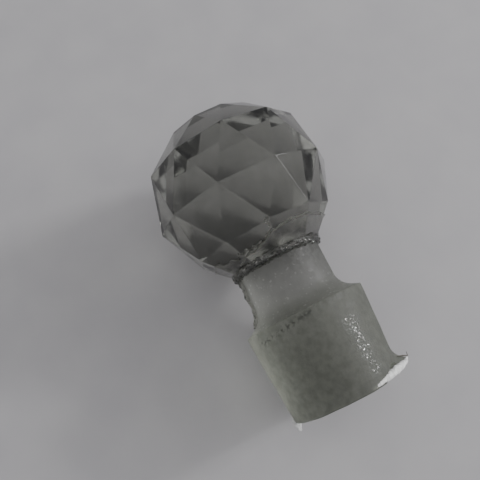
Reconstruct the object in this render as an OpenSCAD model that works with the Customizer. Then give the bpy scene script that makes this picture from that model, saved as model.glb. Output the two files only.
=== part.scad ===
// Faceted ball stopper for a cut crystal decanter, lying on its side as it rests on a table.
//
// Three pieces: a solid ball cut with flat facets, a round shank whose lower end is ground to a
// taper, and the clear cement that joins them. Every piece is first drawn upright on the stopper's
// own axis, with the middle of the ball's widest row of edges at zero and the shank below it.
// laid_down() then lays it on the table, where it rests on one edge of the ball and on the rim
// of the plug.
// Millimetres, +Z up, +X towards the plug, table at Z = 0.

/* [Faceted ball] */
// edges in each row around the ball
row_count = 10; // [8:2:12]
// across opposite corners of the widest row
ball_w = 44; // [43:0.5:46]
// across opposite corners of the row above it
upper_row_w = 38.8; // [37.8:0.2:39.8]
// height of that row above the widest one
upper_row_h = 12.7; // [12.1:0.2:13.3]
// across opposite corners of the flat top
top_w = 22.4; // [20:0.2:24]
// height of the flat top above the widest row
top_h = 20.1; // [19.7:0.1:20.5]
// across opposite corners of the row below the widest one
lower_row_w = 34.4; // [33.8:0.2:35]
// depth of that row below the widest one
lower_row_h = 10.9; // [10.5:0.1:11.5]
// across opposite corners of the flat seat that the shank is cemented to
seat_w = 22.8; // [22.4:0.1:23.4]
// depth of the seat below the widest row
seat_h = 16.4; // [16:0.1:16.8]

/* [Cement] */
// thickness of the cement between the ball and the shank
cement_t = 1; // [0.4:0.1:1.4]
// how far the cement bead stands out past the neck
bead_w = 0.6; // [0.4:0.1:0.7]
// thickness of the film squeezed out over the facets next to the seat
film_t = 0.25; // [0.2:0.05:0.4]
// how far up those facets the film reaches, as a share of their height
film_reach = 0.7; // [0.4:0.05:0.9]

/* [Shank] */
// neck diameter
neck_d = 20.8; // [19.4:0.2:21]
// depth of the plug's upper edge below the ball's widest row
plug_top_h = 30.9; // [29:0.1:36]
// diameter of the plug's upper edge, the large end of the ground taper
plug_top_d = 29.7; // [28.5:0.1:31]
// diameter of the plug's base, the small end of the ground taper
plug_base_d = 26.5; // [24.5:0.1:27.5]
// length of the ground taper
plug_l = 21.6; // [18:0.1:26]
// fall of the shoulder between the neck and the plug, in degrees
shoulder_a = 22; // [15:1:30]
// radius of the hollow curve between the neck and the shoulder
fillet_r = 4.5; // [3.5:0.5:5]
// bevel on the edge of the base
base_bevel = 0.4; // [0.3:0.1:0.8]

/* [Chip in the base edge] */
// radius of the shell-shaped hollow that the chip left
chip_r = 8; // [6:0.5:10]
// depth of the chip, measured in from the edge
chip_depth = 2.6; // [1:0.1:3.5]
// where the chip is around the base, in degrees from the top of the lying stopper
chip_at = 55; // [40:1:100]

/* [Hidden] */
$fa = 4;
$fs = 0.4;

half_step = 180 / row_count;
ball_r = ball_w / 2;
// from the axis to the middle of one of the widest edges, which is what the ball lies on
edge_r = ball_r * cos(half_step);

plug_top_z = -plug_top_h;
base_z = plug_top_z - plug_l;
plug_slope = (plug_top_d - plug_base_d) / 2 / plug_l;
// the corner between the bevel and the taper
rim_r = plug_base_d / 2 + plug_slope * base_bevel;
rim_z = base_z + base_bevel;

neck_r = neck_d / 2;
neck_top_z = -seat_h - cement_t;
fillet_x = neck_r + fillet_r;
shoulder_gap = fillet_r - (fillet_x - plug_top_d / 2) * sin(shoulder_a);
fillet_z = plug_top_z + shoulder_gap / cos(shoulder_a);

// the axis sinks towards the plug by the smaller of the two angles at which an edge of the
// plug meets the table
tilt_at_rim = atan((edge_r - rim_r) / -rim_z);
tilt_at_top = atan((edge_r - plug_top_d / 2) / plug_top_h);
tilt = min(tilt_at_rim, tilt_at_top);
lift = edge_r * cos(tilt);
// the two ends of the lying stopper, which the origin lies half way between
ball_end = top_h * cos(tilt) + top_w / 2 * cos(half_step) * sin(tilt);
plug_end = -base_z * cos(tilt) + (plug_base_d / 2 - base_bevel) * sin(tilt);
shift = (ball_end - plug_end) / 2;

module laid_down() {
    translate([shift, 0, lift])
        rotate([0, tilt - 90, 0])
            children();
}

// corners of one row, as points: turn is the angle of its first corner
function row(width, height, turn) = [
    for (i = [0 : row_count - 1])
        [
            width / 2 * cos(turn + 2 * half_step * i),
            width / 2 * sin(turn + 2 * half_step * i),
            height
        ]
];

// a many-sided band between two heights, with its corners in line with the lower row's
module facet_band(top_width, bottom_width, bottom, height) {
    translate([0, 0, bottom])
        cylinder(h = height, d1 = bottom_width, d2 = top_width, $fn = row_count);
}

// the solid that the flat cuts leave: rows of corners, each turned half a step from the next
module faceted_ball() {
    corners = concat(
        row(top_w, top_h, half_step),
        row(upper_row_w, upper_row_h, 0),
        row(ball_w, 0, half_step),
        row(lower_row_w, -lower_row_h, 0),
        row(seat_w, -seat_h, 0)
    );
    color([0.62, 0.65, 0.63, 0.6])
        laid_down()
            hull()
                polyhedron(points = corners, faces = [[for (i = [0 : 5 * row_count - 1]) i]]);
}

// the layer in the joint with its rounded bead, and the film that crept up the lowest facets
module bond_cement() {
    bead_r = neck_r + bead_w;
    half_t = cement_t / 2;
    film_h = (seat_h - lower_row_h) * film_reach;
    // how much wider the lowest facets get for each millimetre up
    growth = (lower_row_w - seat_w) / (seat_h - lower_row_h);
    film_w = seat_w + 2 * film_t;
    color([0.8, 0.82, 0.78, 0.7])
        laid_down()
            difference() {
                union() {
                    rotate_extrude() {
                        translate([0, neck_top_z])
                            square([bead_r - half_t, cement_t]);
                        translate([bead_r - half_t, neck_top_z + half_t])
                            circle(r = half_t, $fn = 48);
                    }
                    facet_band(film_w + growth * film_h, film_w - growth * half_t,
                        -seat_h - half_t, film_h + half_t);
                }
                facet_band(lower_row_w, seat_w, -seat_h, seat_h - lower_row_h);
            }
}

// outline of the shank on one side of its axis
module shank_outline() {
    shoulder_x = fillet_x - fillet_r * sin(shoulder_a);
    shoulder_z = fillet_z - fillet_r * cos(shoulder_a);
    difference() {
        polygon([
            [0, neck_top_z],
            [neck_r, neck_top_z],
            [neck_r, fillet_z],
            [fillet_x, fillet_z],
            [shoulder_x, shoulder_z],
            [plug_top_d / 2, plug_top_z],
            [rim_r, rim_z],
            [plug_base_d / 2 - base_bevel, base_z],
            [0, base_z]
        ]);
        translate([fillet_x, fillet_z])
            circle(r = fillet_r, $fn = 128);
    }
}

// one piece of glass: hazy neck and shoulder, ground taper, and the chip in the base's edge
module shank() {
    chip_out = (chip_r - chip_depth) * cos(45);
    color([0.66, 0.69, 0.67, 0.6])
        laid_down()
            difference() {
                rotate_extrude()
                    shank_outline();
                rotate([0, 0, chip_at])
                    translate([plug_base_d / 2 + chip_out, 0, base_z - chip_out])
                        sphere(r = chip_r, $fn = 96);
            }
}

faceted_ball();
bond_cement();
shank();
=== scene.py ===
# %% [markdown]
# # A cut glass stopper, piece by piece
# This file builds the looks of a decanter stopper that lies on a table. The stopper has three
# pieces: a heavy glass ball cut with flat facets, a shank that ends in a ground plug, and the
# clear cement between them. A CAD model already gives their places and main sizes. It is loaded
# first, and the finished looks have to fit inside its box.

import math
import random

import bpy
from mathutils import Matrix, Vector


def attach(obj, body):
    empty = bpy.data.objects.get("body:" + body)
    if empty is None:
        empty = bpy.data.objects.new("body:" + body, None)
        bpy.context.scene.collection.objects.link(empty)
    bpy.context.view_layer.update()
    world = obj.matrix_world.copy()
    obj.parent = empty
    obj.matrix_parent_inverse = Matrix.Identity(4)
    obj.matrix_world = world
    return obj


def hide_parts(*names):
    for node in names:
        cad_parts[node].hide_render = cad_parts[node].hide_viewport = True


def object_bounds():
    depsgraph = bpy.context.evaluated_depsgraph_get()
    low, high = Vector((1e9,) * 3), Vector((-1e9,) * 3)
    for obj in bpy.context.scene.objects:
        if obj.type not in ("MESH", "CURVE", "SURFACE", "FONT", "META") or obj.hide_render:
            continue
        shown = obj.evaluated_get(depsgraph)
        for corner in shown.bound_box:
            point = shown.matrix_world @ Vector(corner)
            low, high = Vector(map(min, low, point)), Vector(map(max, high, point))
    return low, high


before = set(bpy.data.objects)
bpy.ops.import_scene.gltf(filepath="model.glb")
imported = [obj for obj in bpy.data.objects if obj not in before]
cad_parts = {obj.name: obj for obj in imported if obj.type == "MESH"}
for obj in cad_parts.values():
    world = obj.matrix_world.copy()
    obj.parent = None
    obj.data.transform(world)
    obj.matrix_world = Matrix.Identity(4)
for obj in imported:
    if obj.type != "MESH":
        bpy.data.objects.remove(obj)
cad_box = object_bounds()
random.seed(11)
print("CAD nodes:", sorted(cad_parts))

# %% [markdown]
# ## Sizes
# The stopper is turned and cut about its own axis, so each piece is easiest to make standing up,
# with the ball's widest row of corners at height zero, and to lay down when it is done. The ball's
# flat facets run between five rows of corners. Each row has a radius and a height.

# %% Sizes of the upright stopper, in metres
MM = 0.001
FACETS = 10
FACET_TURN = 360 / FACETS
ROWS = {
    "top": (11.2 * MM, 20.1 * MM),
    "upper": (19.4 * MM, 12.7 * MM),
    "widest": (22.0 * MM, 0.0),
    "lower": (17.2 * MM, -10.9 * MM),
    "seat": (11.4 * MM, -16.4 * MM),
}
SEAT = ROWS["seat"][1]
NECK_R, NECK_TOP = 10.4 * MM, -17.4 * MM
PLUG_TOP_R, PLUG_TOP = 14.85 * MM, -30.9 * MM
PLUG_BASE_R, PLUG_BASE = 13.25 * MM, -52.5 * MM
BEVEL = 0.4 * MM
RIM = PLUG_BASE + BEVEL
RIM_R = PLUG_BASE_R + (PLUG_TOP_R - PLUG_BASE_R) * BEVEL / (PLUG_TOP - PLUG_BASE)
print(f"overall length {(ROWS['top'][1] - PLUG_BASE) / MM:.1f} mm")

# %% [markdown]
# ## From upright to lying
# The lying stopper touches the table along one edge of the ball and at one point of the plug's
# rim. The angle of its axis follows from those two, and the CAD model's box says how far along X
# it lies. A finished piece keeps its place in its mesh, so after a piece is turned and moved, the
# move is applied and its object is back at the origin.

# %% Laying a piece down, and a few helpers
half_step = math.pi / FACETS
edge_r = ROWS["widest"][0] * math.cos(half_step)
tilt = math.atan((edge_r - RIM_R) / -RIM)
ball_end = ROWS["top"][1] * math.cos(tilt)
ball_end += ROWS["top"][0] * math.cos(half_step) * math.sin(tilt)
LAY_DOWN = Matrix.Translation((cad_box[0].x + ball_end, 0, edge_r * math.cos(tilt)))
LAY_DOWN @= Matrix.Rotation(tilt - math.pi / 2, 4, "Y")
STAND_UP = LAY_DOWN.inverted()
print(f"the axis sinks by {math.degrees(tilt):.2f} degrees towards the plug")


def nothing_selected():
    if bpy.context.object and bpy.context.object.mode != "OBJECT":
        bpy.ops.object.mode_set(mode="OBJECT")
    bpy.ops.object.select_all(action="DESELECT")


def only(piece):
    nothing_selected()
    piece.select_set(True)
    bpy.context.view_layer.objects.active = piece


def apply_modifiers(piece):
    only(piece)
    for modifier in list(piece.modifiers):
        bpy.ops.object.modifier_apply(modifier=modifier.name)


def close_up(piece):
    """Merges doubled corners and turns every face outwards."""
    only(piece)
    bpy.ops.object.mode_set(mode="EDIT")
    bpy.ops.mesh.select_all(action="SELECT")
    bpy.ops.mesh.remove_doubles(threshold=0.0000005)
    bpy.ops.mesh.normals_make_consistent(inside=False)
    bpy.ops.object.mode_set(mode="OBJECT")


def lie(piece):
    """Lays an upright piece down and leaves its object at the origin."""
    only(piece)
    piece.matrix_world = LAY_DOWN @ piece.matrix_world
    bpy.ops.object.transform_apply(location=True, rotation=True, scale=True)


def around(point):
    """Degrees around the axis from the top of the lying stopper, and distance from the axis."""
    return math.degrees(math.atan2(point.y, point.x)), math.hypot(point.x, point.y)


# %% [markdown]
# ## The faceted ball
# A cutter holds the ball against a flat wheel again and again, and each touch takes off one
# slice. Modelling faces one at a time would work too, but slicing gives crossing cuts that meet
# the way real ones do. A plain sphere is sliced with one bisect for each facet, keeping the inside
# and filling the cut. Each plane goes through three corners: neighbours for a facet, and three
# spread around a row for the flat top and foot. No hand sets every slice alike, so each plane
# leans by a fraction of a degree.

# %% Where the slices go
def corner(row, step):
    radius, height = ROWS[row]
    turn = half_step * (2 * step + (1 if row in ("top", "widest") else 0))
    return Vector((radius * math.cos(turn), radius * math.sin(turn), height))


slices = []
for i in range(FACETS):
    slices.append((corner("upper", i), corner("upper", i + 1), corner("top", i)))
    slices.append((corner("top", i), corner("top", i + 1), corner("upper", i + 1)))
    slices.append((corner("upper", i), corner("upper", i + 1), corner("widest", i)))
    slices.append((corner("widest", i), corner("widest", i + 1), corner("upper", i + 1)))
    slices.append((corner("widest", i), corner("widest", i + 1), corner("lower", i + 1)))
    slices.append((corner("lower", i), corner("lower", i + 1), corner("widest", i)))
    slices.append((corner("lower", i), corner("lower", i + 1), corner("seat", i)))
slices.append((corner("top", 0), corner("top", 3), corner("top", 6)))
slices.append((corner("seat", 0), corner("seat", 3), corner("seat", 6)))
print(len(slices), "facets to cut")

# %% [markdown]
# Each cut keeps the inside of its plane and closes the opening with one flat face. The planes
# sit a hair inside the corners, so that the finished ball stays within the CAD model's box.

# %% Cut the ball
RAW_BALL_R, INSET, UNEVEN = 23.5 * MM, 0.03 * MM, 0.004
nothing_selected()
bpy.ops.mesh.primitive_uv_sphere_add(segments=40, ring_count=20, radius=RAW_BALL_R)
ball = bpy.context.object
ball.name = "cut_ball"
bpy.ops.object.mode_set(mode="EDIT")
for a, b, c in slices:
    middle = (a + b + c) / 3
    outwards = (b - a).cross(c - a).normalized()
    if outwards.dot(middle) < 0:
        outwards.negate()
    lean = Vector([random.uniform(-1, 1) for _ in range(3)]) * UNEVEN
    bpy.ops.mesh.select_all(action="SELECT")
    bpy.ops.mesh.bisect(plane_co=middle - outwards * INSET,
                        plane_no=(outwards + lean).normalized(), use_fill=True, clear_outer=True)
close_up(ball)
print("faces after cutting:", len(ball.data.polygons))

# %% [markdown]
# Polishing leaves a narrow rounded edge between two facets, and that edge is what sparkles. A
# Bevel modifier less than a tenth of a millimetre wide gives it.

# %% Soften the ball's edges
bevel = ball.modifiers.new("polished_edge", "BEVEL")
bevel.width = 0.07 * MM
bevel.segments = 2
bevel.limit_method = "ANGLE"
bevel.angle_limit = math.radians(4)
apply_modifiers(ball)
close_up(ball)
lie(ball)
print("faces with soft edges:", len(ball.data.polygons))

# %% [markdown]
# ## The shank
# The neck, the shoulder and the plug are one piece of glass, shaped hot and then turned. Its
# outline is a list of radii and heights: a straight neck, a hollow curve into the shoulder, and
# the long taper of the plug. A disc is extruded from one height to the next and resized each
# time, as on a lathe.

# %% Outline of the shank
def shank_outline():
    slope, hollow = math.radians(22), 4.5 * MM
    centre_r = NECK_R + hollow
    gap = hollow - (centre_r - PLUG_TOP_R) * math.sin(slope)
    centre_z = PLUG_TOP + gap / math.cos(slope)
    neck_start = NECK_TOP - 0.2 * MM
    points = [(NECK_R - 0.2 * MM, NECK_TOP), (NECK_R, neck_start)]
    for i in range(1, 19):
        points.append((NECK_R, neck_start + (centre_z - neck_start) * i / 18))
    for i in range(1, 13):
        turn = math.pi + (math.pi / 2 - slope) * i / 12
        points.append((centre_r + hollow * math.cos(turn), centre_z + hollow * math.sin(turn)))
    points.append((PLUG_TOP_R - 0.5 * MM, PLUG_TOP + 0.2 * MM))
    points.append((PLUG_TOP_R - 0.15 * MM, PLUG_TOP + 0.05 * MM))
    points.append((PLUG_TOP_R - 0.02 * MM, PLUG_TOP - 0.2 * MM))
    for i in range(1, 6):
        points.append((PLUG_TOP_R - 0.08 * MM * i / 3, PLUG_TOP - 0.2 * MM - i * 0.35 * MM))
    start_r, start_z = points[-1]
    for i in range(1, 31):
        points.append((start_r + (RIM_R - start_r) * i / 30, start_z + (RIM - start_z) * i / 30))
    points.append((PLUG_BASE_R - BEVEL, PLUG_BASE))
    return points


outline = shank_outline()
print(len(outline), "rings from the neck's top to the base")

# %% [markdown]
# The disc's rim is selected as a loop and carried down from ring to ring. The last loop is closed
# with one face, which is the flat base.

# %% Draw the shank out of a disc
AROUND = 360
nothing_selected()
bpy.ops.mesh.primitive_circle_add(vertices=AROUND, radius=outline[0][0], fill_type="TRIFAN",
                                  location=(0, 0, outline[0][1]))
shank = bpy.context.object
shank.name = "turned_shank"
bpy.ops.object.transform_apply(location=True)
bpy.ops.object.mode_set(mode="EDIT")
bpy.ops.mesh.select_all(action="SELECT")
bpy.ops.mesh.region_to_loop()
for (r0, z0), (r1, z1) in zip(outline, outline[1:]):
    bpy.ops.mesh.extrude_region_move(TRANSFORM_OT_translate={"value": (0, 0, z1 - z0)})
    bpy.ops.transform.resize(value=(r1 / r0, r1 / r0, 1), center_override=(0, 0, z1))
bpy.ops.mesh.edge_face_add()
close_up(shank)
print("shank faces:", len(shank.data.polygons))

# %% [markdown]
# A hand-made shank isn't true. A ragged seam of glass runs down one side of the neck, and the
# upper edge of the plug is chipped where the grinding started. Both are made with the Displace
# modifier: it pushes the surface in or out by a cloudy texture, and a vertex group limits it to
# one place. The weights fade to nothing, so that the damage runs out softly. A third, slower
# cloud goes over the whole shank and pushes only inwards, which takes away the perfect roundness.

# %% Seam on the neck and chips on the plug's edge
def cloud(name, size, depth=3):
    texture = bpy.data.textures.new(name, "CLOUDS")
    texture.noise_scale = size
    texture.noise_depth = depth
    return texture


def roughen(piece, name, texture, strength, weight, middle=0.5):
    """Displaces a piece along its normals where weight(corner) is above zero."""
    group = piece.vertex_groups.new(name=name)
    touched = 0
    for v in piece.data.vertices:
        share = weight(v.co)
        if share > 0:
            group.add([v.index], min(share, 1), "REPLACE")
            touched += 1
    modifier = piece.modifiers.new(name, "DISPLACE")
    modifier.texture = texture
    modifier.texture_coords = "LOCAL"
    modifier.strength = strength
    modifier.mid_level = middle
    modifier.vertex_group = name
    apply_modifiers(piece)
    print(f"{name}: {touched} corners moved by up to {abs(strength) / MM:.2f} mm")


def seam_weight(co):
    angle, _ = around(co)
    if not (PLUG_TOP + 1.5 * MM < co.z < NECK_TOP - 0.1 * MM):
        return 0
    return max(0, 1 - abs(angle + 86) / 8)


def edge_weight(co):
    angle, radius = around(co)
    if radius < 13.6 * MM or abs(co.z - PLUG_TOP + 0.3 * MM) > 1.3 * MM:
        return 0
    reach = 1 if -62 < angle < 12 else 0.35
    return reach * (1 - abs(co.z - PLUG_TOP + 0.3 * MM) / (1.3 * MM))


roughen(shank, "neck_seam", cloud("seam_cloud", 0.0011), 1.0 * MM, seam_weight, 0.25)
roughen(shank, "chipped_edge", cloud("chip_cloud", 0.0008), 0.9 * MM, edge_weight, 0.78)
roughen(shank, "hand_finish", cloud("slow_cloud", 0.006, 1), 0.2 * MM, lambda co: 1.0, 1.0)

# %% [markdown]
# Where the base was struck, a tongue of glass flares outwards from the plug's side. One corner of
# the rim is dragged out with proportional editing. Its sharp falloff gives the hollow curve on
# the way to the tip.

# %% Pull out the flared tongue
TONGUE_PULL, TONGUE_WIDTH = (-0.3 * MM, 3.1 * MM, 1.5 * MM), 6.5 * MM
only(shank)
rim_points = [v for v in shank.data.vertices
              if v.co.z < RIM + 0.3 * MM and around(v.co)[1] > 12 * MM]
tongue = min(rim_points, key=lambda v: abs(around(v.co)[0] - 90)).index
bpy.ops.object.mode_set(mode="EDIT")
bpy.ops.mesh.select_mode(type="VERT")
bpy.ops.mesh.select_all(action="DESELECT")
bpy.ops.object.mode_set(mode="OBJECT")
shank.data.vertices[tongue].select = True
bpy.ops.object.mode_set(mode="EDIT")
bpy.ops.transform.translate(value=TONGUE_PULL, use_proportional_edit=True,
                            proportional_edit_falloff="SHARP", proportional_size=TONGUE_WIDTH)
bpy.ops.object.mode_set(mode="OBJECT")
print(f"the tongue reaches {max(v.co.y for v in shank.data.vertices) / MM:.1f} mm from the axis")

# %% [markdown]
# A shell-shaped chip is missing from the edge of the base. Glass breaks in smooth curved
# hollows, so a slightly uneven ball is set into the corner and taken away with a Boolean
# modifier.

# %% Chip out the base's edge
CHIP_AT, CHIP_R, CHIP_OUT, CHIP_Z = math.radians(55), 8 * MM, 16.8 * MM, -56.6 * MM
nothing_selected()
bpy.ops.mesh.primitive_ico_sphere_add(
    subdivisions=6, radius=CHIP_R,
    location=(CHIP_OUT * math.cos(CHIP_AT), CHIP_OUT * math.sin(CHIP_AT), CHIP_Z))
cutter = bpy.context.object
bpy.ops.object.transform_apply(location=True)
roughen(cutter, "ripples", cloud("ripple_cloud", 0.003), 1.2 * MM, lambda co: 1.0)
difference = shank.modifiers.new("chip", "BOOLEAN")
difference.operation = "DIFFERENCE"
difference.solver = "EXACT"
difference.object = cutter
apply_modifiers(shank)
bpy.data.objects.remove(cutter)
close_up(shank)
print("shank faces with the chip:", len(shank.data.polygons))

# %% [markdown]
# Three marks are painted onto the finished shank as values on its corners, for its materials to
# read: a rubbed streak along the plug that glints, painted shade behind the chipped edge for the
# dark glints of its chips, and dark mottling on one side of the neck, thickest next to the joint.
# Painted values move with the mesh, so they stay in place wherever the shank goes.

# %% Paint the marks on the shank
def paint(piece, name, value):
    layer = piece.data.attributes.new(name, "FLOAT", "POINT")
    for v in piece.data.vertices:
        layer.data[v.index].value = max(0.0, min(1.0, value(v.co)))
    painted = sum(1 for d in layer.data if d.value > 0.05)
    print(f"{name}: painted on {painted} of {len(layer.data)} corners")


def rubbed_streak(co):
    angle, radius = around(co)
    down = (PLUG_TOP - co.z) / MM
    width = 8.5 + 2.5 * math.sin(down * 1.1)
    if radius < 11 * MM or not 4.5 < down < 19:
        return 0
    across = 1 - abs(angle - 22 - 0.35 * down) / width
    return max(0, across) * min(1, (down - 4.5) / 2) * min(1, (19 - down) / 1.5)


# Painted shade: dark flecks behind the chipped edge stand for the dark glints of its chips.
def chip_shade_edge(co):
    angle, radius = around(co)
    if radius < 12.5 * MM or not -60 < angle < 2:
        return 0
    return 1.1 - abs((PLUG_TOP - co.z) / MM - 1.0 + 0.03 * angle) / 0.9


def mottled_neck(co):
    angle, radius = around(co)
    if radius > 11.5 * MM or not -10 < angle < 85:
        return 0
    return 0.75 * min(1, (angle + 10) / 20) * (1 - (NECK_TOP - co.z) / (9 * MM))


paint(shank, "rubbed", rubbed_streak)
paint(shank, "chip_shade", chip_shade_edge)
paint(shank, "mottled", mottled_neck)
lie(shank)

# %% [markdown]
# ## The cement joint
# The ball sits on the neck in a layer of clear cement about a millimetre thick. Round it is an
# uneven bead, nearly three times as tall with its lumps, and full of small bubbles. A low
# cylinder gets rounded rims with Bevel, and its side is roughened. It is drawn as one solid disc
# that overlaps the end of the neck and the foot of the ball by up to about a millimetre. The
# overlap leaves no air gap, and it is a drawing shortcut: the CAD solids don't overlap.

# %% Layer and bead
BEAD_R, BEAD_H, BEAD_MIDDLE = 11.3 * MM, 2.1 * MM, -17.1 * MM
nothing_selected()
bpy.ops.mesh.primitive_cylinder_add(vertices=240, radius=BEAD_R, depth=BEAD_H,
                                    end_fill_type="NGON", location=(0, 0, BEAD_MIDDLE))
cement = bpy.context.object
cement.name = "cement_joint"
bpy.ops.object.transform_apply(location=True)
rounding = cement.modifiers.new("rounding", "BEVEL")
rounding.width = 0.85 * MM
rounding.segments = 6
rounding.limit_method = "ANGLE"
rounding.angle_limit = math.radians(40)
apply_modifiers(cement)
roughen(cement, "lumpy_rim", cloud("rim_cloud", 0.0007, 2), 1.1 * MM,
        lambda co: 1.0 if around(co)[1] > 10.2 * MM else 0.0, 0.45)
close_up(cement)
print("cement faces:", len(cement.data.polygons))

# %% [markdown]
# One bubble is modelled and copied around the rim. Each copy gets its own mesh, size and place,
# and all of them are joined to the bead, because they are one piece with it.

# %% Bubbles in the bead
BUBBLES = 260
nothing_selected()
bpy.ops.mesh.primitive_ico_sphere_add(subdivisions=2, radius=MM)
first_bubble = bpy.context.object
bubbles = []
for i in range(BUBBLES):
    turn = random.uniform(0, 2 * math.pi)
    reach = random.uniform(10.9, 11.5) * MM
    place = (reach * math.cos(turn), reach * math.sin(turn), random.uniform(-17.9, -16.2) * MM)
    only(first_bubble)
    bpy.ops.object.duplicate()
    bubbles.append(bpy.context.object)
    bubbles[-1].location = place
    bubbles[-1].scale = [random.uniform(0.1, 0.3)] * 3
bpy.data.objects.remove(first_bubble)
only(cement)
for bubble in bubbles:
    bubble.select_set(True)
bpy.ops.object.join()
lie(cement)
print(len(bubbles), "bubbles joined")

# %% [markdown]
# ## The squeezed-out film
# When the joint was pressed together, a thin film of cement crept up the lowest facets and
# stopped in a ragged line, thicker along its edge. It starts as the ten-sided side of a cone that
# fits those facets. Subdivide makes it fine enough to pull, proportional moves drag its upper
# edge up and down, and Solidify gives it thickness, most of it along the upper edge.

# %% Side of the film
GROWTH = (ROWS["lower"][0] - ROWS["seat"][0]) / (ROWS["lower"][1] - SEAT)
FILM_H = 3.4 * MM
film_low = ROWS["seat"][0] + 0.03 * MM
nothing_selected()
bpy.ops.mesh.primitive_cone_add(vertices=FACETS, radius1=film_low,
                                radius2=film_low + GROWTH * FILM_H, depth=FILM_H,
                                end_fill_type="NOTHING", location=(0, 0, SEAT + FILM_H / 2),
                                rotation=(0, 0, math.pi / 2))
film = bpy.context.object
film.name = "cement_film"
bpy.ops.object.transform_apply(location=True, rotation=True)
bpy.ops.object.mode_set(mode="EDIT")
bpy.ops.mesh.select_all(action="SELECT")
bpy.ops.mesh.subdivide(number_cuts=31)
bpy.ops.object.mode_set(mode="OBJECT")
print("corners of the film:", len(film.data.vertices))

# %% [markdown]
# A move with proportional editing takes the corners close by along with it, which suits a film
# that was pushed about while soft. A few large pulls set the line, and many small ones fray it.

# %% Drag its upper edge
def facet_middle(angle):
    """The middle of the facet that an angle in degrees falls on, in radians."""
    return math.radians(FACET_TURN * (math.floor(angle / FACET_TURN) + 0.5))


def drag_edge(angle, distance, width):
    """Moves the film's upper edge near an angle along its facet, with what is close to it."""
    only(film)
    top = SEAT + FILM_H - 0.6 * MM
    here = [v for v in film.data.vertices if v.co.z > top]
    nearest = min(here, key=lambda v: (abs(around(v.co)[0] - angle), -v.co.z)).index
    facet = facet_middle(angle)
    lean = GROWTH * math.cos(half_step)
    along = Vector((lean * math.cos(facet), lean * math.sin(facet), 1)).normalized()
    bpy.ops.object.mode_set(mode="EDIT")
    bpy.ops.mesh.select_mode(type="VERT")
    bpy.ops.mesh.select_all(action="DESELECT")
    bpy.ops.object.mode_set(mode="OBJECT")
    film.data.vertices[nearest].select = True
    bpy.ops.object.mode_set(mode="EDIT")
    bpy.ops.transform.translate(value=along * distance, use_proportional_edit=True,
                                proportional_edit_falloff="SMOOTH", proportional_size=width,
                                use_proportional_connected=True)
    bpy.ops.object.mode_set(mode="OBJECT")


pulls = [(6, 0.4, 2.2), (18, 0.65, 3), (30, 0.6, 2.6), (-3, -0.3, 0.9), (-12, -1.3, 1.3),
         (-19, -1.6, 1.5), (-26, -1.9, 1.6), (-34, -1.9, 1.6), (-46, -2.6, 2.2), (-58, -1.6, 2.6)]
for angle, distance, width in pulls:
    drag_edge(angle, distance * MM, width * MM)
for _ in range(50):
    drag_edge(random.uniform(-179, 179), random.uniform(-0.35, 0.3) * MM,
              random.uniform(0.5, 1.1) * MM)
print(len(pulls) + 50, "pulls on the film's edge")

# %% [markdown]
# Solidify turns the sheet into a closed shell. A vertex group makes it about three times as
# thick along its edges as in its middle.

# %% Give the film thickness
EDGE_BAND, THIN_SHARE = 0.18 * MM, 0.3
rim = film.vertex_groups.new(name="thick_edge")
only(film)
bpy.ops.object.mode_set(mode="EDIT")
bpy.ops.mesh.select_all(action="SELECT")
bpy.ops.mesh.region_to_loop()
bpy.ops.object.mode_set(mode="OBJECT")
edge_points = [v.co.copy() for v in film.data.vertices if v.select and v.co.z > SEAT + 0.5 * MM]
for v in film.data.vertices:
    gap = min((v.co - p).length for p in edge_points)
    rim.add([v.index], 1.0 if gap < EDGE_BAND else THIN_SHARE, "REPLACE")
wall = film.modifiers.new("film", "SOLIDIFY")
wall.thickness = 0.26 * MM
wall.offset = 1
wall.vertex_group = "thick_edge"
apply_modifiers(film)
close_up(film)
lie(film)
print("film faces:", len(film.data.polygons))

# %% [markdown]
# ## Crushed glass at the base
# A narrow blade of crushed glass still clings to the rim across the chip and runs out to the
# tongue's tip, and there is a smaller one on the other side. Crushed glass is white, because its
# countless cracks scatter light. Each blade starts as a small ring that is extruded from point to
# point and resized on the way, as the shank was, and is then broken up with Displace. The dark
# spurs are plain slivers, made the same way and left smooth. Their near-black colour is partly
# their thin edges and partly painted shade, the contact shadow along the blades.

# %% Blades and spurs
def on_rim(angle, radius, height):
    turn = math.radians(angle)
    return Vector((radius * math.cos(turn), radius * math.sin(turn), height)) * MM


def splinter(name, path, ruggedness):
    """Extrudes a ring along a path of (place, half width), then breaks up its surface."""
    steps = []
    for (p, w), (q, u) in zip(path, path[1:]):
        steps += [(p.lerp(q, i / 6), w + (u - w) * i / 6) for i in range(6)]
    steps.append(path[-1])
    nothing_selected()
    heading = (steps[-1][0] - steps[0][0]).to_track_quat("Z", "X")
    bpy.ops.mesh.primitive_circle_add(vertices=20, radius=steps[0][1] * MM, fill_type="NGON",
                                      location=steps[0][0], rotation=heading.to_euler())
    piece = bpy.context.object
    piece.name = name
    bpy.ops.object.transform_apply(location=True, rotation=True)
    bpy.ops.object.mode_set(mode="EDIT")
    bpy.ops.mesh.select_all(action="SELECT")
    for (p, w), (q, u) in zip(steps, steps[1:]):
        bpy.ops.mesh.extrude_region_move(TRANSFORM_OT_translate={"value": q - p})
        bpy.ops.transform.resize(value=(u / w, u / w, u / w), center_override=q)
    bpy.ops.object.mode_set(mode="OBJECT")
    close_up(piece)
    if ruggedness:
        finer = piece.modifiers.new("finer", "SUBSURF")
        finer.subdivision_type = "SIMPLE"
        finer.levels = 2
        apply_modifiers(piece)
        roughen(piece, "broken", cloud(name + "_cloud", 0.0009), ruggedness * MM, lambda co: 1.0)
        close_up(piece)
    return piece


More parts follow.
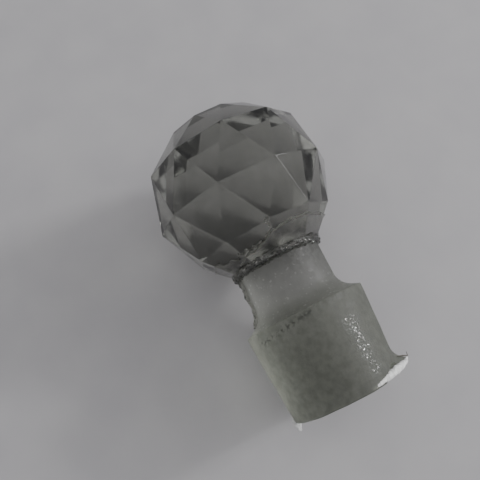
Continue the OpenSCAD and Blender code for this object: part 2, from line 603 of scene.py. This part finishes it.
long_blade = splinter("long_blade", [
    (on_rim(91, 16.6, -50.7), 0.16), (on_rim(83, 15.2, -51.2), 0.6),
    (on_rim(70, 13.6, -51.3), 0.85), (on_rim(55, 12.9, -51.3), 0.9),
    (on_rim(38, 12.8, -51.4), 0.8), (on_rim(24, 12.9, -51.6), 0.5),
    (on_rim(15, 13.0, -51.9), 0.2)], 0.45)
short_blade = splinter("short_blade", [
    (on_rim(-98, 13.2, -51.8), 0.6), (on_rim(-86, 12.9, -52.7), 0.8),
    (on_rim(-86, 12.9, -53.9), 0.3)], 0.35)
# The spurs' near-black colour is partly thin edge and partly painted shade along the blades.
spurs = [
    splinter("long_spur", [(on_rim(80, 13.9, -49.2), 0.1), (on_rim(88, 15.6, -49.9), 0.17),
                           (on_rim(91, 17.0, -50.5), 0.08)], 0),
    splinter("tick", [(on_rim(91, 16.9, -50.4), 0.1), (on_rim(91.5, 17.1, -49.6), 0.06)], 0),
    splinter("short_spur", [(on_rim(-97, 13.4, -51.4), 0.1), (on_rim(-95, 13.3, -53.9), 0.07)], 0),
]
lie(long_blade)
lie(short_blade)
for spur in spurs:
    lie(spur)
print("splinters:", [long_blade.name, short_blade.name] + [spur.name for spur in spurs])

# %% [markdown]
# ## Ridge, blob and drip of cement
# The film's edge dried as a raised, ragged ridge. Above it sits one stray blob, and a drip ran
# down the side of the neck. They are made like the blades: a ring is extruded along a path. A
# point on a facet needs its own distance from the axis, because the facets are flat.

# %% Lay the ridge, the blob and the drip
def on_facet(angle, above_seat):
    turn, centre = math.radians(angle), facet_middle(angle)
    flat = (ROWS["seat"][0] + GROWTH * above_seat * MM) * math.cos(half_step)
    radius = flat / math.cos(turn - centre)
    return Vector((radius * math.cos(turn), radius * math.sin(turn), SEAT + above_seat * MM))


ridge = splinter("cement_ridge", [
    (on_facet(-52, 0.6), 0.14), (on_facet(-44, 0.8), 0.24), (on_facet(-36, 1.3), 0.26),
    (on_facet(-30, 1.7), 0.3), (on_facet(-25, 1.4), 0.26), (on_facet(-18, 1.9), 0.32),
    (on_facet(-11, 2.3), 0.28), (on_facet(-5, 3.1), 0.32), (on_facet(-1, 3.6), 0.26),
    (on_facet(2, 3.3), 0.28), (on_facet(7, 3.7), 0.25), (on_facet(16, 4.1), 0.2),
    (on_facet(27, 4.0), 0.2), (on_facet(35, 4.0), 0.22), (on_facet(48, 3.8), 0.16),
    (on_facet(70, 3.5), 0.1)], 0.35)
blob = splinter("cement_blob", [
    (on_facet(-1, 5.8), 0.35), (on_facet(-3, 5.3), 0.6), (on_facet(-1, 4.9), 0.3),
    (on_facet(-2, 4.3), 0.18)], 0.3)
drip = splinter("cement_drip", [
    (on_rim(-80, 10.8, -17.8), 0.8), (on_rim(-79, 10.3, -20), 0.7),
    (on_rim(-82, 10.3, -22.5), 0.85), (on_rim(-80, 10.3, -25), 0.6),
    (on_rim(-82, 10.7, -27.5), 0.75), (on_rim(-82, 12.2, -29.6), 0.4)], 0.6)
trails = [ridge, blob, drip]
for trail in trails:
    lie(trail)
print("trails:", [trail.name for trail in trails])

# %% [markdown]
# ## Two shared node groups
# Every surface here is cloudy, unevenly rough and grainy, only by different amounts. A shader node
# group works that out once from named inputs. It gives a colour, a roughness and a height, and
# each material feeds those into its own shader. The place on the glass is measured in metres, so
# a noise scale of 300 makes clouds about three millimetres wide.

# %% The worn_surface group
def link(tree, source, target):
    tree.links.new(source, target)


def noise_node(tree, scale, detail):
    node = tree.nodes.new("ShaderNodeTexNoise")
    node.inputs["Scale"].default_value = scale
    node.inputs["Detail"].default_value = detail
    return node


def steeper(tree, value, low, high):
    node = tree.nodes.new("ShaderNodeMapRange")
    node.inputs["From Min"].default_value = low
    node.inputs["From Max"].default_value = high
    link(tree, value, node.inputs["Value"])
    return node.outputs["Result"]


def blend_colour(tree, share, first, second):
    node = tree.nodes.new("ShaderNodeMix")
    node.data_type = "RGBA"
    for source, target in ((share, 0), (first, 6), (second, 7)):
        if isinstance(source, tuple):
            node.inputs[target].default_value = source
        else:
            link(tree, source, node.inputs[target])
    return node.outputs[2]


def calculate(tree, operation, first, second):
    node = tree.nodes.new("ShaderNodeMath")
    node.operation = operation
    for i, source in enumerate((first, second)):
        if isinstance(source, (int, float)):
            node.inputs[i].default_value = source
        else:
            link(tree, source, node.inputs[i])
    return node.outputs[0]


def new_group(name, inputs, outputs):
    """Makes a group from (label, kind, default) inputs and (label, kind) outputs."""
    group = bpy.data.node_groups.new(name, "ShaderNodeTree")
    for label, kind, default in inputs:
        entry = group.interface.new_socket(name=label, in_out="INPUT", socket_type=kind)
        if default is not None:
            entry.default_value = default
    for label, kind in outputs:
        group.interface.new_socket(name=label, in_out="OUTPUT", socket_type=kind)
    print(name, "has inputs", [label for label, _, _ in inputs])
    inside = group.nodes.new("NodeGroupInput").outputs
    return group, inside, group.nodes.new("NodeGroupOutput").inputs


VECTOR, COLOUR, NUMBER = "NodeSocketVector", "NodeSocketColor", "NodeSocketFloat"
worn, inside, outside = new_group(
    "worn_surface",
    (("Where", VECTOR, None), ("Light Colour", COLOUR, None), ("Dark Colour", COLOUR, None),
     ("Cloud Scale", NUMBER, 300), ("Smoothest", NUMBER, 0.1), ("Roughest", NUMBER, 0.4),
     ("Grain Scale", NUMBER, 3000)),
    (("Colour", COLOUR), ("Roughness", NUMBER), ("Height", NUMBER)))
clouds, grain = noise_node(worn, 300, 5), noise_node(worn, 3000, 3)
link(worn, inside["Where"], clouds.inputs["Vector"])
link(worn, inside["Where"], grain.inputs["Vector"])
link(worn, inside["Cloud Scale"], clouds.inputs["Scale"])
link(worn, inside["Grain Scale"], grain.inputs["Scale"])
cloudy = steeper(worn, clouds.outputs[0], 0.36, 0.64)
link(worn, blend_colour(worn, cloudy, inside["Dark Colour"], inside["Light Colour"]),
     outside["Colour"])
spread = calculate(worn, "SUBTRACT", inside["Roughest"], inside["Smoothest"])
mottle = calculate(worn, "MULTIPLY", steeper(worn, grain.outputs[0], 0.3, 0.7), cloudy)
link(worn, calculate(worn, "ADD", calculate(worn, "MULTIPLY", spread, mottle),
                     inside["Smoothest"]), outside["Roughness"])
link(worn, grain.outputs[0], outside["Height"])

# %% [markdown]
# Pale specks of painted highlight, dark mottling, and painted shade at the chipped edge and in
# the bead are flecks of another colour, so they share a second group. A noise is cut off at a
# level, so that only its peaks are left, and a higher level leaves fewer flecks. A painted value
# keeps them to one place, and without one they lie all over.

# %% The flecks group
flecks, inside, outside = new_group(
    "flecks",
    (("Where", VECTOR, None), ("Painted", NUMBER, 1.0), ("Under Colour", COLOUR, None),
     ("Fleck Colour", COLOUR, None), ("Fleck Scale", NUMBER, 1500), ("Level", NUMBER, 0.5)),
    (("Colour", COLOUR), ("Share", NUMBER)))
peaks = noise_node(flecks, 1500, 3)
link(flecks, inside["Where"], peaks.inputs["Vector"])
link(flecks, inside["Fleck Scale"], peaks.inputs["Scale"])
above = calculate(flecks, "SUBTRACT", peaks.outputs[0], inside["Level"])
share = calculate(flecks, "MULTIPLY", steeper(flecks, above, 0.0, 0.08), inside["Painted"])
link(flecks, share, outside["Share"])
link(flecks, blend_colour(flecks, share, inside["Under Colour"], inside["Fleck Colour"]),
     outside["Colour"])

# %% [markdown]
# The shader stays in each material, and only its colour, roughness and height come from a group.
# Three helpers wire that up: one makes a material, one reads a painted value, and one adds flecks.

# %% A material that uses the first group, and a helper for the second
def worn_material(name, light, dark, cloud_scale, smooth, rough, grain_scale, ior, grain_depth,
                  clear=1.0):
    """Returns the material, with the nodes and the place socket that details are added to."""
    material = bpy.data.materials.new(name)
    material.use_nodes = True
    tree = material.node_tree
    shader = tree.nodes["Principled BSDF"]
    shader.inputs["Transmission Weight"].default_value = clear
    shader.inputs["IOR"].default_value = ior
    place = tree.nodes.new("ShaderNodeTexCoord").outputs["Object"]
    group = tree.nodes.new("ShaderNodeGroup")
    group.node_tree = worn
    link(tree, place, group.inputs["Where"])
    group.inputs["Light Colour"].default_value = (*light, 1)
    group.inputs["Dark Colour"].default_value = (*dark, 1)
    for label, value in (("Cloud Scale", cloud_scale), ("Smoothest", smooth),
                         ("Roughest", rough), ("Grain Scale", grain_scale)):
        group.inputs[label].default_value = value
    bump = tree.nodes.new("ShaderNodeBump")
    bump.inputs["Distance"].default_value = grain_depth * MM
    link(tree, group.outputs["Colour"], shader.inputs["Base Color"])
    link(tree, group.outputs["Roughness"], shader.inputs["Roughness"])
    link(tree, group.outputs["Height"], bump.inputs["Height"])
    link(tree, bump.outputs["Normal"], shader.inputs["Normal"])
    return material, tree, shader, group, bump, place


def painted(tree, name):
    node = tree.nodes.new("ShaderNodeAttribute")
    node.attribute_name = name
    return node.outputs["Fac"]


def add_flecks(tree, place, under, shader, colour, scale, level, where=None):
    """Puts flecks over a material's colour and returns their share."""
    node = tree.nodes.new("ShaderNodeGroup")
    node.node_tree = flecks
    link(tree, place, node.inputs["Where"])
    if where:
        link(tree, painted(tree, where), node.inputs["Painted"])
    link(tree, under, node.inputs["Under Colour"])
    node.inputs["Fleck Colour"].default_value = (*colour, 1)
    node.inputs["Fleck Scale"].default_value = scale
    node.inputs["Level"].default_value = level
    link(tree, node.outputs["Colour"], shader.inputs["Base Color"])
    return node.outputs["Share"]


# %% [markdown]
# ## Glass of the ball
# The ball is polished, smoky glass with a slight warm green in it. Years of handling leave faint
# smudges, so the roughness wanders a little and the surface is never quite mirror smooth.

# %% Smoky cut glass
smoky = worn_material("smoky_cut_glass", (0.35, 0.355, 0.325), (0.28, 0.285, 0.258), 160,
                      0.03, 0.14, 900, 1.54, 0.002)[0]
ball.data.materials.append(smoky)
print("ball:", smoky.name)

# %% [markdown]
# ## Glass of the shank
# The neck is dulled rather than clear, so it shows a soft grey haze and no mirror streak. Pale
# flecks all over it are painted highlights for tiny sparkles, on spots that are also a little
# smoother, and it has dark mottling where that value is painted. The plug was ground with wet
# grit to fit its bottle and is rougher and greener. Its rubbed streak becomes smooth and lumpy
# under a glossy coat, which breaks the window's reflection into glints, and behind its chipped
# edge dark flecks of painted shade stand for the dark glints of its chips.

# %% Hazy neck and ground plug
hazy, tree, shader, group, bump, place = worn_material(
    "hazy_neck_glass", (0.49, 0.495, 0.47), (0.4, 0.405, 0.38), 520, 0.55, 0.85,
    2600, 1.5, 0.05)
# Pale flecks: painted highlights for tiny sparkles, on spots of the neck that are also smoother.
pits_and_sparkle = add_flecks(tree, place, group.outputs["Colour"], shader, (0.85, 0.85, 0.83), 1300, 0.62)
sparkled_colour = shader.inputs["Base Color"].links[0].from_socket
add_flecks(tree, place, sparkled_colour, shader, (0.2, 0.2, 0.185), 900, 0.46, "mottled")
unpitted = calculate(tree, "SUBTRACT", 1, calculate(tree, "MULTIPLY", pits_and_sparkle, 0.35))
link(tree, calculate(tree, "MULTIPLY", group.outputs["Roughness"], unpitted),
     shader.inputs["Roughness"])
print("neck:", hazy.name)

# %% [markdown]
# The plug starts from the same helper. Its glints need three things together: a low roughness, a
# lumpy surface whose slopes turn to the light, and gaps of dull glass between them.

# %% Ground plug, with its glints and painted shade at the chipped edge
ground, tree, shader, group, bump, place = worn_material(
    "ground_plug_glass", (0.46, 0.475, 0.42), (0.27, 0.285, 0.24), 620, 0.55, 0.95, 3000, 1.5,
    0.09)
lumps = noise_node(tree, 2300, 2)
link(tree, place, lumps.inputs["Vector"])
broken = steeper(tree, lumps.outputs[0], 0.5, 0.6)
rubbed = calculate(tree, "MULTIPLY", steeper(tree, painted(tree, "rubbed"), 0.05, 0.5), broken)
keep = calculate(tree, "SUBTRACT", 1, rubbed)
smoother = calculate(tree, "MULTIPLY", group.outputs["Roughness"], keep)
link(tree, calculate(tree, "ADD", smoother, calculate(tree, "MULTIPLY", rubbed, 0.05)),
     shader.inputs["Roughness"])
lumpy = calculate(tree, "MULTIPLY", calculate(tree, "MULTIPLY", rubbed, lumps.outputs[0]), 1.4)
link(tree, calculate(tree, "ADD", group.outputs["Height"], lumpy), bump.inputs["Height"])
link(tree, rubbed, shader.inputs["Coat Weight"])
link(tree, bump.outputs["Normal"], shader.inputs["Coat Normal"])
shader.inputs["Coat Roughness"].default_value = 0.04
shader.inputs["Coat IOR"].default_value = 1.9
# Dark flecks of painted shade behind the chipped edge.
add_flecks(tree, place, group.outputs["Colour"], shader, (0.06, 0.065, 0.05), 1100, 0.47,
           "chip_shade")

shank.data.materials.append(hazy)
shank.data.materials.append(ground)
for face in shank.data.polygons:
    face.material_index = 1 if (STAND_UP @ face.center).z < PLUG_TOP + 0.05 * MM else 0
only(shank)
bpy.ops.object.shade_smooth_by_angle(angle=math.radians(35))
print("ground faces:", sum(1 for face in shank.data.polygons if face.material_index == 1))

# %% [markdown]
# ## Clear cement
# The cement is paler than the glass around it and has a skin that dried unevenly. The lower half
# of the bead, on the side turned away from the lights, gets dark flecks of painted shade. That is
# a painted value too.

# %% Cement with painted shade in its rim
# Painted shade along the bead's lower rim, on the side away from the lights.
def shaded_bead_rim(co):
    co = STAND_UP @ co
    angle, radius = around(co)
    if radius < 10.4 * MM or not -100 < angle < -2:
        return 0
    return 1.1 - abs(co.z / MM + 17.85) / 0.4


paint(cement, "bead_shade", shaded_bead_rim)
pale, tree, shader, group, bump, place = worn_material(
    "clear_cement", (0.8, 0.81, 0.77), (0.5, 0.5, 0.47), 1300, 0.04, 0.2, 1700, 1.5, 0.2)
# Dark flecks of painted shade in the bead's lower rim.
add_flecks(tree, place, group.outputs["Colour"], shader, (0.03, 0.03, 0.025), 1500, 0.46, "bead_shade")
cement.data.materials.append(pale)
film_skin = worn_material("cement_film", (0.86, 0.86, 0.83), (0.68, 0.68, 0.65), 700, 0.05, 0.26,
                          2000, 1.5, 0.04)[0]
film.data.materials.append(film_skin)
ridge_skin = worn_material("cement_ridge", (0.98, 0.98, 0.95), (0.88, 0.88, 0.85), 1200, 0.4,
                           0.75, 2400, 1.45, 0.1)[0]
ridge.data.materials.append(ridge_skin)
blob.data.materials.append(ridge_skin)
drip.data.materials.append(pale)
for piece in (cement, film, drip):
    only(piece)
    bpy.ops.object.shade_smooth_by_angle(angle=math.radians(50))

# %% [markdown]
# ## White crushed glass and dark spurs
# The crushed glass lets almost no light through, so it isn't made as glass but as a rough white
# solid with grain in it. Each spur is a thin sliver, seen edge-on, and its near-black colour is
# partly that thin edge and partly painted shade, the contact shadow along the crushed glass.

# %% Crushed glass and its spurs
crushed = worn_material("crushed_glass", (0.86, 0.86, 0.85), (0.62, 0.62, 0.61), 1400, 0.5, 0.7,
                        2400, 1.5, 0.08, clear=0.0)[0]
# Near-black: partly a thin edge seen edge-on, partly painted contact shadow along the blades.
sliver_shade = worn_material("painted_shade_sliver", (0.1, 0.09, 0.07), (0.03, 0.028, 0.022), 1800, 0.25,
                        0.5, 2600, 1.5, 0.03, clear=0.0)[0]
long_blade.data.materials.append(crushed)
short_blade.data.materials.append(crushed)
for spur in spurs:
    spur.data.materials.append(sliver_shade)
print("solid materials:", crushed.name, sliver_shade.name)

# %% [markdown]
# ## Joining the pieces to the CAD model
# Each piece rides on the CAD model's root, because nothing in a stopper moves. A new piece that
# stands for a CAD solid replaces it, and the solid is hidden. The film, ridge, blob, drip and
# splinters ride on the root as well.

# %% Ride and replace
for piece, node, slot in ((ball, "faceted_ball", "cut_glass"), (shank, "shank", "shank_glass"),
                          (cement, "bond_cement", "cement")):
    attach(piece, "root")
    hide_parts(node)
for piece in [film] + trails:
    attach(piece, "root")
for piece in [long_blade, short_blade] + spurs:
    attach(piece, "root")
print("pieces:", 4 + len(trails) + 2 + len(spurs))

# %% [markdown]
# ## Table, light and camera
# A plain pale table takes the shadow. A large window stands low on one side, and the rest of the
# light comes softly from all around. A small bright pane in front of the window is what glints.
# Both stand at the height where their reflection falls on the plug's rubbed streak.

# %% Table
nothing_selected()
bpy.ops.mesh.primitive_plane_add(size=3)
table = bpy.context.object
table.name = "table_top"
paper = worn_material("pale_table", (0.5, 0.49, 0.5), (0.47, 0.46, 0.475), 60, 0.6, 0.75, 900,
                      1.45, 0.0, clear=0.0)[0]
table.data.materials.append(paper)

# %% [markdown]
# Two area lights face the stopper from one side, and the world gives an even light from
# everywhere else. A larger light gives softer shadows at the same power.

# %% Light
world = bpy.data.worlds.new("soft_room")
bpy.context.scene.world = world
world.use_nodes = True
world.node_tree.nodes["Background"].inputs["Color"].default_value = (0.85, 0.85, 0.87, 1)
world.node_tree.nodes["Background"].inputs["Strength"].default_value = 0.61


def rectangle_light(name, place, size, power):
    """An area light turned to face the stopper."""
    lamp = bpy.data.lights.new(name, "AREA")
    lamp.shape = "RECTANGLE"
    lamp.size, lamp.size_y = size
    lamp.energy = power
    holder = bpy.data.objects.new(name, lamp)
    bpy.context.scene.collection.objects.link(holder)
    holder.location = place
    aim = Vector((0, 0, 0.015)) - holder.location
    holder.rotation_euler = aim.to_track_quat("-Z", "Y").to_euler()
    print(name, "shines from", tuple(round(c, 2) for c in -aim.normalized()))


rectangle_light("window", (0.12, 1.15, 0.55), (1.3, 0.8), 9.5)
rectangle_light("bright_pane", (0.1, 1.1, 0.5), (0.17, 0.15), 5.5)

# %% [markdown]
# The camera looks down at the stopper from above the plug. It is set by its place, the point it
# looks at, and how far it is rolled about its own line of sight.

# %% Camera
camera_data = bpy.data.cameras.new("camera")
camera_data.lens = 43.5
camera_data.sensor_width = 36
camera_data.clip_start = 0.005
camera = bpy.data.objects.new("camera", camera_data)
bpy.context.scene.collection.objects.link(camera)
stand = Vector((38.64, -21.26, 149.52)) * MM
target = Vector((-8.78, -5.21, 15.0)) * MM
roll = math.radians(-8.02)
turned = (target - stand).to_track_quat("-Z", "Y").to_matrix().to_4x4()
turned @= Matrix.Rotation(roll, 4, "Z")
camera.matrix_world = Matrix.Translation(stand) @ turned
bpy.context.scene.camera = camera
print(f"camera {stand.length / MM:.0f} mm from the frame's origin")
